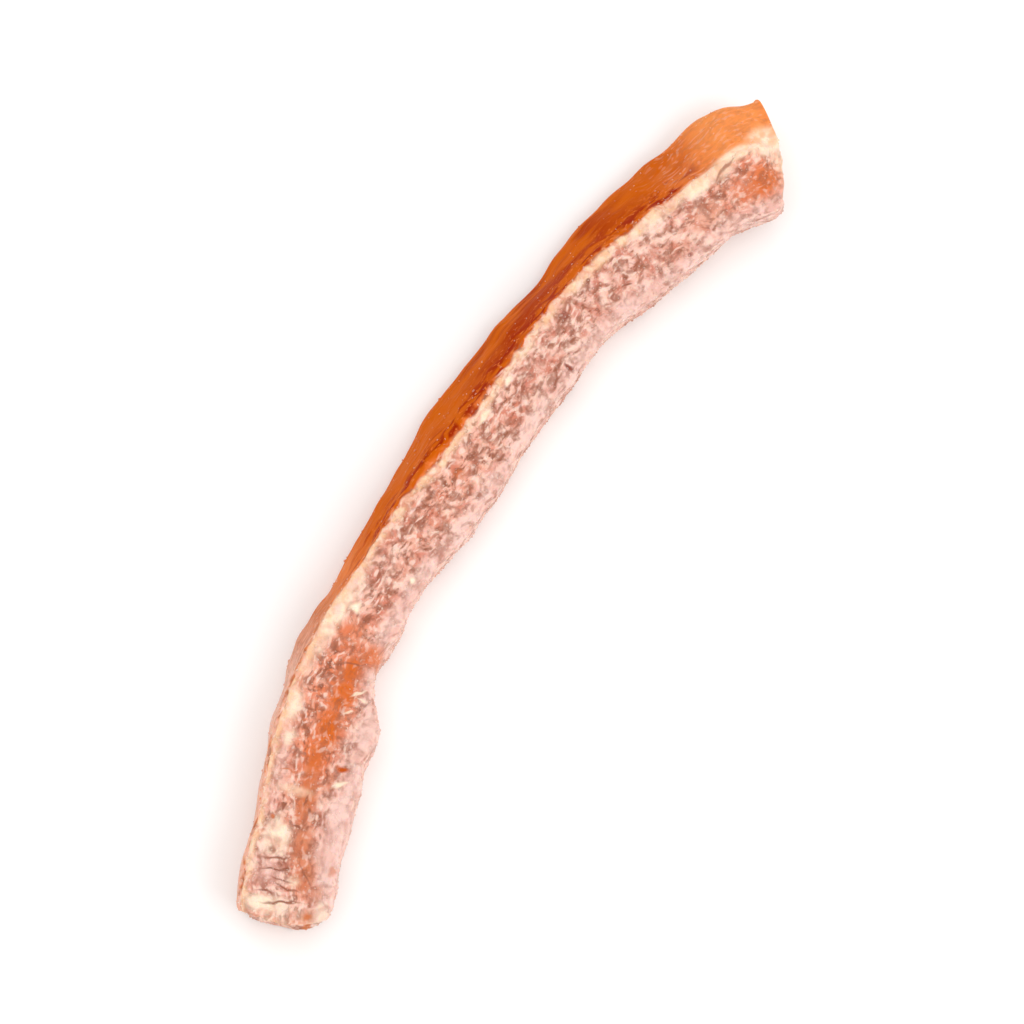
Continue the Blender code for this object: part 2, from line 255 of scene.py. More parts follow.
class PapayaFlesh(bpy.types.PropertyGroup):
    """Colours and relief of the candied flesh"""

    frost: colour_setting("Frost", "Flesh under a thin bloom of sugar", "D08672")
    frost_pale: colour_setting("Pale frost", "Flesh under a thicker bloom", "F4C7B6")
    clot: colour_setting("Clots", "Small clots of sugar on the face", "F9D6C6")
    # The clots' pale sugar, also used for the glints: painted highlights on the frost's crests
    bloom: colour_setting("Bloom", "Dry white bloom", "F1C9BE")
    cream: colour_setting("Cream", "Thick sugar on the ridge, the rims and the cut", "FEE9CE")
    ridge: colour_setting("Ridge", "Sugared edge between the face and the flank", "F2BF99")
    # Flesh that shows in cracks and wrinkles, darkened further as painted shade in these hollows and in the
    # frost's troughs
    crevice_and_shade: colour_setting("Crevices", "Flesh that shows in cracks and wrinkles", "9A5F4A")
    pit: colour_setting("Pits", "Dark red specks", "8F4A3C")
    blush: colour_setting("Blush", "Flesh that shows through the bloom", "E07E55")
    stain: colour_setting("Stain", "Syrup soaked through the bloom", "D66A28")
    syrup: colour_setting("Syrup", "Syrup that dried in a pit", "C65A20")
    brown: colour_setting("Brown", "Flesh that browned as it dried", "CC7448")
    flank: colour_setting("Flank", "Bare candied flesh", "AB3C00")
    flank_deep: colour_setting("Deep flank", "Bare flesh beside the ridge, where it is thickest", "9C2400")
    flank_warm: colour_setting("Warm flank", "Bare flesh where it is thinner", "CB5C02")
    flank_bright: colour_setting("Bright flank", "Bare flesh where light comes through", "F0904E")
    flank_edge: colour_setting("Flank's edge", "Bare flesh beside the ridge and the foot", "E27A3C")
    wall: colour_setting("Wall", "The side past the bend", "E8B09A")
    lump_depth: length_setting("Lumps", "Depth of the soft lumps in the crust", 0.24)
    crust_depth: length_setting("Crust", "Depth of the crust's flakes", 0.18)
    wrinkle_depth: length_setting("Wrinkles", "Depth of the wrinkles in the crust", 0.05)
    grain_depth: length_setting("Grain", "Depth of the finest grain", 0.06)
    flank_depth: length_setting("Flank waves", "Depth of the waves in the bare flank", 0.14)
    ridge_height: length_setting("Ridge bead", "Height of the sugar along the ridge", 0.10)
    fine_depth: length_setting("Fine relief", "Depth of the strokes, specks and wrinkles", 0.16)


class PapayaSugar(bpy.types.PropertyGroup):
    """Sugar that clings to the strip"""

    tint: colour_setting("Sugar", "Crystals where they are milky", "FFE9DA")
    coarse_size: length_setting("Coarse size", "Length of a coarse crystal", 0.32)
    coarse_gap: length_setting("Coarse gap", "Least distance between coarse crystals", 0.95)
    fine_size: length_setting("Fine size", "Length of a fine crystal", 0.2)
    fine_gap: length_setting("Fine gap", "Least distance between fine crystals", 0.33)
    seed: IntProperty(name="Seed", description="Picks another scatter of crystals", default=11, min=0)


class PapayaStage(bpy.types.PropertyGroup):
    """Floor, lights and camera"""

    paper: colour_setting("Paper", "The floor's colour", "FDFDFC")
    brightness: FloatProperty(name="Brightness", description="Scales every light", default=1.0, min=0)
    lens: FloatProperty(
        name="Lens", description="Focal length in millimetres", default=600.0, unit="CAMERA", min=20
    )
    elevation: FloatProperty(
        name="Elevation", description="How steeply the camera looks down", default=math.radians(75),
        subtype="ANGLE", min=0, max=math.radians(90),
    )
    fill: FloatProperty(
        name="Fill", description="Share of the frame's height that the strip takes", default=0.84,
        subtype="FACTOR", min=0.1, max=1,
    )


def add_node(tree, kind, inputs=None, **settings):
    """Adds a node with its settings; each input gets a value, or a link from another node's socket."""
    node = tree.nodes.new(kind)
    for name, value in settings.items():
        setattr(node, name, value)
    for key, value in (inputs or {}).items():
        if isinstance(value, bpy.types.NodeSocket):
            tree.links.new(value, node.inputs[key])
        else:
            node.inputs[key].default_value = value
    return node


def select_only(obj):
    """Selects one object and makes it the active one."""
    bpy.ops.object.select_all(action="DESELECT")
    obj.select_set(True)
    bpy.context.view_layer.objects.active = obj


def apply_modifiers(obj):
    """Applies all of an object's modifiers."""
    select_only(obj)
    for modifier in list(obj.modifiers):
        bpy.ops.object.modifier_apply(modifier=modifier.name)


def eased(value, start, end):
    """0 before start, 1 after end, and a smooth step between them."""
    share = np.clip((value - start) / (end - start), 0.0, 1.0)
    return share * share * (3.0 - 2.0 * share)


def ridge_curve():
    """Points along the ridge in plan, on a smooth curve through its path."""
    path = np.array(RIDGE_PATH)
    padded = np.vstack([path[:1], path, path[-1:]])
    points = []
    for before, start, end, after in zip(padded, padded[1:], padded[2:], padded[3:]):
        for t in np.arange(CURVE_STEPS) / CURVE_STEPS:
            curve = 2.0 * start + (end - before) * t
            curve += (2.0 * before - 5.0 * start + 4.0 * end - after) * t**2
            curve += (3.0 * start - before - 3.0 * end + after) * t**3
            points.append(0.5 * curve)
    points.append(path[-1])
    return np.array(points)


def strip_places(points, normals):
    """Along, across and up for each point, and how squarely it faces the flank's side."""
    curve = ridge_curve()
    steps = np.diff(curve, axis=0)
    lengths = np.concatenate([[0.0], np.cumsum(np.hypot(*steps.T))])
    heading = np.gradient(curve, axis=0)
    heading /= np.linalg.norm(heading, axis=1)[:, None]
    nearest = np.empty(len(points), dtype=int)
    for start in range(0, len(points), BLOCK):
        gaps = points[start:start + BLOCK, None, :2] - curve[None]
        nearest[start:start + BLOCK] = np.argmin(np.einsum("ijk,ijk->ij", gaps, gaps), axis=1)
    offset = points[:, :2] - curve[nearest]
    forward = heading[nearest]
    flankward = np.column_stack([forward[:, 1], -forward[:, 0]])
    along = lengths[nearest] + np.einsum("ij,ij->i", offset, forward)
    across = np.einsum("ij,ij->i", offset, flankward)
    return along, across, points[:, 2], np.einsum("ij,ij->i", normals[:, :2], flankward)


def highest(along, values, picked):
    """The highest value in each millimetre along the strip among the picked points, smoothed."""
    slots = np.clip(np.round(along).astype(int), 0, int(along.max()))
    rows = []
    for slot in range(slots.max() + 1):
        inside = values[picked & (slots == slot)]
        rows.append(inside.max() if len(inside) else rows[-1])
    rows = np.convolve(np.pad(rows, 1, mode="edge"), (0.25, 0.5, 0.25), mode="valid")
    return np.interp(along, np.arange(len(rows)), rows)


def ovals(along, round_way, spots):
    """The strongest of the ovals that cover each point, each fading out to its edge."""
    cover = np.zeros(len(along))
    for middle, off, length, width, strength in spots:
        distance = np.hypot((along - middle) / length, (round_way - off) / width)
        cover = np.maximum(cover, strength * (1.0 - eased(distance, 0.25, 1.0)))
    return cover


def strip_fields(points, normals):
    """Where each point lies on the strip, and how much of each finish it has, from 0 to 1."""
    along, across, up, flankward = strip_places(points, normals)
    near_ridge = np.abs(across) < 0.6
    upper = up > 3.5
    ridge_height = highest(along, up, near_ridge)
    face_reach = highest(along, -across, upper)

    # On the flank the way round goes down the slope as well as outwards
    side = eased(flankward, 0.2, 0.6) * eased(across, -1.2, -0.4)
    drop = np.maximum(ridge_height - up, 0.0)
    round_way = (1.0 - side) * across + side * np.hypot(across, drop)
    round_way -= np.interp(along, *zip(*EDGE_SHIFTS))
    fields = {"strip": np.column_stack([along, round_way, up])}
    fields["bare"] = eased(round_way, 0.0, 0.5)
    frosted = 1.0 - fields["bare"]

    # The face's patches, its outer edge and the ridge's bead all stop above the underside's plain frost
    above = eased(up, 3.0, 4.5)
    for name, spots in PATCHES.items():
        fields[name] = ovals(along, round_way, spots) * above
    fields["ridge"] = np.exp(-((round_way + 0.25) / 0.8) ** 2) * above
    fields["edge"] = eased(-across / face_reach, 0.62, 0.9) * frosted * (0.6 + 0.4 * above)

    # Sugar rims the cut at the notched end, and the blunt end more thinly
    ends = 1.0 - eased(along, 0.2, 1.3) + 0.4 * eased(along, along.max() - 2.2, along.max() - 1.0)
    fields["rim"] = ends * eased(up, 2.0, 4.0) * frosted

    # The bare flank is smoothest between the notched end and the bend, and moist there
    smooth = 0.78 + 0.22 * eased(along, 8.0, 15.0) - 0.35 * eased(along, 58.0, 72.0)
    fields["rough"] = 1.0 - fields["bare"] * smooth
    fields["moist"] = eased(along, 5.0, 10.0) - eased(along, 56.0, 66.0)

    # Relief and loose crystals fade out towards what the strip lies on
    fields["clear"] = eased(up, 0.15, 0.9)
    return fields


def store(mesh, name, values):
    """Keeps a number, or a vector, for each point of the mesh."""
    is_vector = values.ndim == 2
    attribute = mesh.attributes.new(name, "FLOAT_VECTOR" if is_vector else "FLOAT", "POINT")
    attribute.data.foreach_set("vector" if is_vector else "value", values.astype(np.float32).ravel())


def point_arrays(mesh):
    """The mesh's points in millimetres, and their normals."""
    points = np.empty(len(mesh.vertices) * 3, dtype=np.float32)
    normals = np.empty_like(points)
    mesh.vertices.foreach_get("co", points)
    mesh.vertices.foreach_get("normal", normals)
    return points.reshape(-1, 3) / MM, normals.reshape(-1, 3)


def drifting(tree, place, size, reach):
    """The places, each moved by a slow noise, so that what is drawn there wanders."""
    cloud = add_node(tree, "ShaderNodeTexNoise", {"Vector": place, "Scale": 1.0 / size, "Detail": 0.0})
    drift = add_node(
        tree, "ShaderNodeVectorMath", {0: cloud.outputs["Color"], 1: (0.5, 0.5, 0.5)}, operation="SUBTRACT"
    ).outputs[0]
    return add_node(
        tree, "ShaderNodeVectorMath", {0: drift, 1: (reach, reach, reach), 2: place},
        operation="MULTIPLY_ADD",
    ).outputs[0]


def from_border(tree, place, cell):
    """How far each place is from the border between two cells of an uneven pattern."""
    cells = add_node(
        tree, "ShaderNodeTexVoronoi", {"Vector": place, "Scale": 1.0 / cell}, feature="DISTANCE_TO_EDGE"
    )
    return add_node(
        tree, "ShaderNodeMath", {0: cells.outputs["Distance"], 1: cell}, operation="MULTIPLY"
    ).outputs[0]


def wrinkled(tree, place):
    """The places adrift, the same combed along the strip, and how far each is from a wrinkle."""
    drifted = drifting(tree, place, *DRIFT)
    combed = add_node(tree, "ShaderNodeVectorMath", {0: drifted, 1: COMBED}, operation="MULTIPLY").outputs[0]
    return drifted, combed, from_border(tree, combed, WRINKLE_CELL)


def geometry_group(name):
    """A node group that takes a mesh and gives one back, and the mesh that it takes."""
    tree = bpy.data.node_groups.new(name, "GeometryNodeTree")
    for way in ("INPUT", "OUTPUT"):
        tree.interface.new_socket("Geometry", in_out=way, socket_type="NodeSocketGeometry")
    return tree, add_node(tree, "NodeGroupInput").outputs["Geometry"]


def relief_tree(settings):
    """Node group that raises the lumps, flakes and grain of the dried surface."""
    tree, mesh = geometry_group("dried_relief")
    fields = {}
    for name in ("strip", "bare", "ridge", "clear", "stain"):
        kind = "FLOAT_VECTOR" if name == "strip" else "FLOAT"
        reader = add_node(tree, "GeometryNodeInputNamedAttribute", {"Name": name}, data_type=kind)
        fields[name] = reader.outputs["Attribute"]
    place = fields["strip"]
    drifted, _, from_wrinkle = wrinkled(tree, place)
    waves = add_node(
        tree, "ShaderNodeVectorMath", {0: place, 1: FLANK_WAVES}, operation="MULTIPLY"
    ).outputs[0]

    # The crust covers all but the bare flank, and syrup has smoothed it where it soaked through
    frosted = add_node(tree, "ShaderNodeMath", {0: 1.0, 1: fields["bare"]}, operation="SUBTRACT").outputs[0]
    calm = add_node(
        tree, "ShaderNodeMapRange",
        {"Value": fields["stain"], "From Min": 0.2, "From Max": 0.9, "To Min": 1.0, "To Max": 0.4},
    ).outputs[0]
    frosted = add_node(tree, "ShaderNodeMath", {0: frosted, 1: calm}, operation="MULTIPLY").outputs[0]

    # The crust sinks towards its wrinkles
    sunk = add_node(
        tree, "ShaderNodeMapRange",
        {"Value": from_wrinkle, "From Max": 0.35, "To Min": -1.0, "To Max": 0.0},
        interpolation_type="SMOOTHSTEP",
    ).outputs[0]
    sunk = add_node(tree, "ShaderNodeMath", {0: sunk, 1: frosted}, operation="MULTIPLY").outputs[0]
    height = add_node(
        tree, "ShaderNodeMath", {0: sunk, 1: settings.wrinkle_depth}, operation="MULTIPLY"
    ).outputs[0]

    # Each layer is a noise: what places it, its size in millimetres, its detail, the part of the
    # strip that it covers, and its depth
    for vector, size, detail, cover, depth in (
        (place, 2.4, 2.0, frosted, settings.lump_depth),
        (drifted, 0.9, 1.0, frosted, settings.crust_depth),
        (place, 0.38, 1.0, frosted, settings.grain_depth),
        (waves, 1.5, 0.0, fields["bare"], settings.flank_depth),
    ):
        cloud = add_node(
            tree, "ShaderNodeTexNoise", {"Vector": vector, "Scale": 1.0 / size, "Detail": detail}
        ).outputs[0]
        level = add_node(tree, "ShaderNodeMath", {0: cloud, 1: 0.5}, operation="SUBTRACT").outputs[0]
        level = add_node(tree, "ShaderNodeMath", {0: level, 1: cover}, operation="MULTIPLY").outputs[0]
        height = add_node(
            tree, "ShaderNodeMath", {0: level, 1: depth, 2: height}, operation="MULTIPLY_ADD"
        ).outputs[0]
    height = add_node(
        tree, "ShaderNodeMath", {0: fields["ridge"], 1: settings.ridge_height, 2: height},
        operation="MULTIPLY_ADD",
    ).outputs[0]
    height = add_node(
        tree, "ShaderNodeMath", {0: height, 1: fields["clear"]}, operation="MULTIPLY"
    ).outputs[0]

    # The height is kept before the points move, so that every point is raised by its own
    kept = add_node(
        tree, "GeometryNodeStoreNamedAttribute", {"Geometry": mesh, "Name": "height", "Value": height},
        data_type="FLOAT", domain="POINT",
    ).outputs["Geometry"]
    normal = add_node(tree, "GeometryNodeInputNormal").outputs["Normal"]
    stored = add_node(tree, "GeometryNodeInputNamedAttribute", {"Name": "height"}, data_type="FLOAT")
    offset = add_node(
        tree, "ShaderNodeVectorMath", {0: normal, "Scale": stored.outputs["Attribute"]}, operation="SCALE"
    ).outputs[0]
    moved = add_node(tree, "GeometryNodeSetPosition", {"Geometry": kept, "Offset": offset})
    add_node(tree, "NodeGroupOutput", {"Geometry": moved.outputs["Geometry"]})
    return tree


def broken(tree, cover, pattern, least):
    """A cover that the pattern breaks up, but never below its least share."""
    share = add_node(
        tree, "ShaderNodeMapRange", {"Value": pattern, "To Min": least, "To Max": 1.0}
    ).outputs[0]
    return add_node(
        tree, "ShaderNodeMath", {0: cover, 1: share}, operation="MULTIPLY", use_clamp=True
    ).outputs[0]


def laid_over(tree, ground, layers):
    """A ground colour with other colours over it, from the bottom up, each with its share."""
    # A Mix node takes its colours at sockets 6 and 7, and gives its colour at socket 2
    for share, colour in layers:
        ground = add_node(
            tree, "ShaderNodeMix", {0: share, 6: ground, 7: colour}, data_type="RGBA"
        ).outputs[2]
    return ground


def palette(settings):
    """The colours among the settings, by name, each opaque."""
    values = {name: getattr(settings, name) for name in settings.__annotations__}
    return {name: (*value, 1.0) for name, value in values.items() if isinstance(value, Color)}


def soft_patterns(tree, place, drifted, combed):
    """Soft patterns of the dried surface, at the sizes of the real marks, from 0 to their most."""
    streaked = add_node(
        tree, "ShaderNodeVectorMath", {0: place, 1: FLANK_STREAKS}, operation="MULTIPLY"
    ).outputs[0]
    soft = {}

    # Each is a noise: what places it, its size in millimetres, its detail, the two levels that it
    # fades in between, and its most. Strokes are the noise's troughs, drawn dark like the frost's
    # small curls and as painted shade in the troughs, and glints are its crests, drawn light as
    # painted highlights on them. The bloom's own grains are finer than 0.1 mm and wouldn't show,
    # so its grit is drawn at 0.2 mm.
    for name, vector, size, detail, low, high, most in (
        ("clots", drifted, 0.8, 2.0, 0.42, 0.72, 0.5),
        ("patches", place, 3.0, 2.0, 0.38, 0.62, 1.0),
        ("mottle", drifted, 1.7, 2.0, 0.36, 0.64, 1.0),
        ("gaps", place, 1.2, 1.0, 0.44, 0.60, 1.0),
        ("strokes_and_shade", combed, 0.46, 1.0, 0.48, 0.29, 1.0),
        ("painted_glints", combed, 0.46, 0.8, 0.54, 0.70, 1.0),
        ("streaks", streaked, 2.2, 1.0, 0.38, 0.62, 1.0),
        ("blotches", combed, 1.1, 1.5, 0.42, 0.62, 1.0),
        ("specks", drifted, 0.45, 1.0, 0.58, 0.74, 0.8),
        ("grit", place, 0.2, 3.0, 0.25, 0.75, 1.0),
    ):
        noise = add_node(
            tree, "ShaderNodeTexNoise",
            {"Vector": vector, "Scale": 1.0 / size, "Detail": detail, "Roughness": 0.6},
        ).outputs[0]
        soft[name] = add_node(
            tree, "ShaderNodeMapRange", {"Value": noise, "From Min": low, "From Max": high, "To Max": most},
            interpolation_type="SMOOTHSTEP",
        ).outputs[0]
    return soft


def drawn_lines(tree, fields, soft, from_wrinkle, wavering):
    """Wrinkles and strokes, drawn dark partly as painted shade, and glints, painted highlights, by name, and
    how busy the crust is with them.
    """
    drawn = {"strokes_and_shade": broken(tree, soft["strokes_and_shade"], soft["patches"], 0.45), "painted_glints": soft["painted_glints"]}

    # Wrinkles are soft dark lines along the borders of the cells, where the gaps leave them: the
    # flesh's darker colour in the creases, with painted shade in them
    for name, distance, reach in (
        ("wrinkles", from_wrinkle, 0.3),
        ("fine_wrinkles", from_border(tree, wavering, FINE_WRINKLE_CELL), 0.18),
    ):
        line = add_node(
            tree, "ShaderNodeMapRange", {"Value": distance, "From Min": reach, "From Max": 0.0},
            interpolation_type="SMOOTHSTEP",
        ).outputs[0]
        drawn[name] = broken(tree, line, soft["gaps"], 0.0)

    # The crust is quieter under thick sugar and bloom, and where syrup or browning smoothed it
    busy = fields["rough"]
    for name, share in (("edge", 0.45), ("cream", 0.8), ("pale", 0.65), ("stain", 0.6), ("brown", 0.6)):
        quiet = add_node(
            tree, "ShaderNodeMapRange", {"Value": fields[name], "To Min": 1.0, "To Max": 1.0 - share}
        ).outputs[0]
        busy = add_node(tree, "ShaderNodeMath", {0: busy, 1: quiet}, operation="MULTIPLY").outputs[0]
    for name, most in (("wrinkles", 0.7), ("fine_wrinkles", 0.5), ("strokes_and_shade", 0.95), ("painted_glints", 0.75)):
        share = add_node(tree, "ShaderNodeMath", {0: busy, 1: most}, operation="MULTIPLY").outputs[0]
        drawn[name] = add_node(
            tree, "ShaderNodeMath", {0: drawn[name], 1: share}, operation="MULTIPLY"
        ).outputs[0]
    return drawn, busy


def ridge_shares(tree, round_way):
    """Shares of what lies at the ridge and beside it, by how far round from it each place is."""
    shares = {}

    # Each fades in from its first distance to its second
    for name, start, end in (
        ("bare", -0.15, 0.2),
        ("face_side", -1.1, -0.2),
        ("flank_side", 0.2, -0.12),
        ("beside_ridge", 4.5, 0.8),
        ("under_ridge", 0.85, 0.1),
    ):
        shares[name] = add_node(
            tree, "ShaderNodeMapRange", {"Value": round_way, "From Min": start, "From Max": end},
            interpolation_type="SMOOTHSTEP",
        ).outputs[0]
    shares["ridge_line"] = add_node(
        tree, "ShaderNodeMath", {0: shares["face_side"], 1: shares["flank_side"]}, operation="MULTIPLY"
    ).outputs[0]
    return shares


def flank_colour(tree, along, colours):
    """The bare flank's colour along the strip."""
    tones = add_node(tree, "ShaderNodeMapRange", {"Value": along, "From Max": TONES_LENGTH}).outputs[0]
    ramp = add_node(tree, "ShaderNodeValToRGB", {0: tones})
    stops = ramp.color_ramp.elements
    stops.remove(stops[1])
    for index, (where, name) in enumerate(FLANK_TONES):
        stop = stops[0] if index == 0 else stops.new(where / TONES_LENGTH)
        stop.position = where / TONES_LENGTH
        stop.color = colours[name]
    return ramp.outputs["Color"]


def fine_relief(tree, soft, drawn, bare):
    """Height of the fine relief: grit, clots and glints (painted highlights) stand up, strokes and wrinkles
    (drawn dark, partly as painted shade) lie low.
    """
    height = 0.0
    for pattern, depth in (
        (soft["grit"], 0.3), (soft["clots"], 0.4), (drawn["painted_glints"], 0.4),
        (drawn["strokes_and_shade"], -0.5), (drawn["wrinkles"], -0.5),
    ):
        height = add_node(
            tree, "ShaderNodeMath", {0: pattern, 1: depth, 2: height}, operation="MULTIPLY_ADD"
        ).outputs[0]
    waves = add_node(tree, "ShaderNodeMath", {0: soft["blotches"], 1: 0.35}, operation="MULTIPLY").outputs[0]
    return add_node(tree, "ShaderNodeMix", {0: bare, 2: height, 3: waves}, data_type="FLOAT").outputs[0]


def marked(tree, place, colour, height, colours):
    """The colour and the fine relief with the crisp marks set into them."""
    for middle, off, length, width, turn, name, strength, sinks in MARKS:
        local = add_node(
            tree, "ShaderNodeMapping",
            {
                "Vector": place, "Location": (middle, off, 0.0), "Rotation": (0.0, 0.0, math.radians(turn)),
                "Scale": (MARK_REACH * length, MARK_REACH * width, MARK_HEIGHT),
            },
            vector_type="TEXTURE",
        ).outputs[0]
        inside = add_node(
            tree, "ShaderNodeTexGradient", {"Vector": local}, gradient_type="SPHERICAL"
        ).outputs["Fac"]
        share = add_node(
            tree, "ShaderNodeMapRange", {"Value": inside, "From Max": MARK_FULL, "To Max": strength},
            interpolation_type="SMOOTHSTEP",
        ).outputs[0]
        colour = laid_over(tree, colour, ((share, colours[name]),))
        height = add_node(
            tree, "ShaderNodeMath", {0: share, 1: -sinks, 2: height}, operation="MULTIPLY_ADD"
        ).outputs[0]
    return colour, height


def dried_surface(tree, settings):
    """Nodes for the dried surface, shared by the flesh and by the sugar that clings to it.

    Returns its colour, the share of bare flesh, and the height of its fine relief.
    """
    fields = {}
    for name in ("edge", "rim", "rough", "moist", *PATCHES):
        fields[name] = add_node(tree, "ShaderNodeAttribute", attribute_name=name).outputs["Fac"]
    place = add_node(tree, "ShaderNodeAttribute", attribute_name="strip").outputs["Vector"]
    colours = palette(settings)
    drifted, combed, from_wrinkle = wrinkled(tree, place)
    wavering = drifting(tree, place, *WAVER)
    soft = soft_patterns(tree, place, drifted, combed)
    drawn, busy = drawn_lines(tree, fields, soft, from_wrinkle, wavering)

    # Read from the drifting places, the ridge's creamy line and the flank's edge waver a little
    along, round_way = add_node(tree, "ShaderNodeSeparateXYZ", {0: drifted}).outputs[:2]
    shares = ridge_shares(tree, round_way)

    frosted = laid_over(tree, colours["frost"], (
        (soft["mottle"], colours["frost_pale"]),
        (broken(tree, fields["blush"], soft["patches"], 0.7), colours["blush"]),
        (broken(tree, fields["edge"], soft["mottle"], 0.6), colours["bloom"]),
        (broken(tree, soft["clots"], busy, 0.3), colours["clot"]),
        (broken(tree, fields["pale"], soft["mottle"], 0.5), colours["bloom"]),
        (broken(tree, fields["stain"], soft["mottle"], 0.75), colours["stain"]),
        (broken(tree, fields["brown"], soft["mottle"], 0.7), colours["brown"]),
    ))
    deep = broken(tree, shares["beside_ridge"], soft["blotches"], 0.0)
    bare = laid_over(tree, flank_colour(tree, along, colours), (
        (broken(tree, fields["moist"], soft["streaks"], 0.0), colours["flank_warm"]),
        (broken(tree, fields["moist"], deep, 0.0), colours["flank_deep"]),
        (broken(tree, shares["under_ridge"], soft["gaps"], 0.1), colours["flank_edge"]),
        (broken(tree, soft["specks"], shares["beside_ridge"], 0.15), colours["flank_edge"]),
    ))
    colour = laid_over(tree, frosted, (
        (shares["bare"], bare),
        # Fine wrinkles and wrinkles: the flesh's darker colour in the creases, with painted shade in them
        (drawn["fine_wrinkles"], colours["crevice_and_shade"]),
        (drawn["wrinkles"], colours["crevice_and_shade"]),
        # Strokes are painted shade in the troughs, and glints are painted highlights on the crests
        (drawn["strokes_and_shade"], colours["crevice_and_shade"]),
        (drawn["painted_glints"], colours["clot"]),
        (broken(tree, fields["cream"], soft["mottle"], 0.4), colours["cream"]),
        (broken(tree, fields["rim"], soft["clots"], 0.3), colours["cream"]),
        (broken(tree, shares["ridge_line"], soft["gaps"], 0.35), colours["ridge"]),
        (broken(tree, shares["ridge_line"], soft["clots"], 0.0), colours["cream"]),
    ))
    height = fine_relief(tree, soft, drawn, shares["bare"])
    colour, height = marked(tree, wavering, colour, height, colours)
    return colour, shares["bare"], height


def new_material(name, values):
    """A material whose shader has these values on its own sockets, and that shader."""
    material = bpy.data.materials.new(name)
    material.use_nodes = True
    surface = material.node_tree.nodes["Principled BSDF"]
    for socket, value in values.items():
        surface.inputs[socket].default_value = value
    return material, surface


def flesh_material(settings):
    """Papaya flesh, candied in syrup and dried: bare on the flank, bloomed with sugar elsewhere."""
    # Syrup gives the bare flesh a deep orange that light comes a little way through, and the dry
    # bloom gives the face a dull, pale, broken pink. The flank is seen at a low angle, where a
    # fruit's usual shine would turn it white, so the specular level is far below that.
    material, surface = new_material("candied_papaya_flesh", {
        "IOR": 1.45,
        "Specular IOR Level": 0.02,
        "Subsurface Weight": 0.3,
        "Subsurface Radius": (1.0, 0.42, 0.2),
        "Subsurface Scale": 0.5 * MM,
    })
    tree = material.node_tree
    colour, bare, height = dried_surface(tree, settings)
    roughness = add_node(
        tree, "ShaderNodeMapRange", {"Value": bare, "To Min": 0.75, "To Max": 0.45}
    ).outputs[0]
    bump = add_node(
        tree, "ShaderNodeBump", {"Strength": 0.7, "Distance": settings.fine_depth, "Height": height}
    ).outputs[0]
    for socket, output in (("Base Color", colour), ("Roughness", roughness), ("Normal", bump)):
        tree.links.new(output, surface.inputs[socket])
    return material


def make_flesh(settings):
    """A finer copy of the solid's surface, with the relief and finish of dried fruit."""
    solid = frame["nodes"][NODE]
    flesh = bpy.data.objects.new("candied_flesh", solid.data.copy())
    bpy.context.scene.collection.objects.link(flesh)
    flesh.matrix_world = solid.matrix_world
    flesh.data.materials.clear()
    select_only(flesh)
    bpy.ops.object.transform_apply(location=True, rotation=True, scale=True)
    bpy.ops.object.mode_set(mode="EDIT")
    bpy.ops.mesh.select_all(action="SELECT")
    bpy.ops.mesh.remove_doubles(threshold=MERGE_DISTANCE * MM)
    bpy.ops.mesh.tris_convert_to_quads(
        face_threshold=math.radians(FLATNESS), shape_threshold=math.radians(SQUARENESS)
    )
    bpy.ops.object.mode_set(mode="OBJECT")
    finer = flesh.modifiers.new("finer", "SUBSURF")
    finer.levels = FINER_LEVELS
    finer.render_levels = FINER_LEVELS
    apply_modifiers(flesh)
    for name, values in strip_fields(*point_arrays(flesh.data)).items():
        store(flesh.data, name, values)
    relief = flesh.modifiers.new("dried_relief", "NODES")
    relief.node_group = relief_tree(settings)
    apply_modifiers(flesh)
    bpy.ops.object.shade_smooth()
    flesh.data.materials.append(flesh_material(settings))
    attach(flesh, BODY)
    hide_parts(NODE)


def crystal(name, size, stretch):
    """One sugar crystal: a block that narrows to a smaller top, as sugar grows."""
    bpy.ops.object.select_all(action="DESELECT")
    bpy.ops.mesh.primitive_cube_add(size=size)
    grain = bpy.context.object
    grain.name = name
    bpy.ops.object.mode_set(mode="EDIT")
    bpy.ops.mesh.select_all(action="SELECT")
    bpy.ops.transform.resize(value=stretch)
    bpy.ops.mesh.select_all(action="DESELECT")
    bpy.ops.object.mode_set(mode="OBJECT")
    for face in grain.data.polygons:
        face.select = face.normal.z > 0.5
    bpy.ops.object.mode_set(mode="EDIT")
    bpy.ops.transform.resize(value=CRYSTAL_TOP)
    bpy.ops.object.mode_set(mode="OBJECT")
    return grain


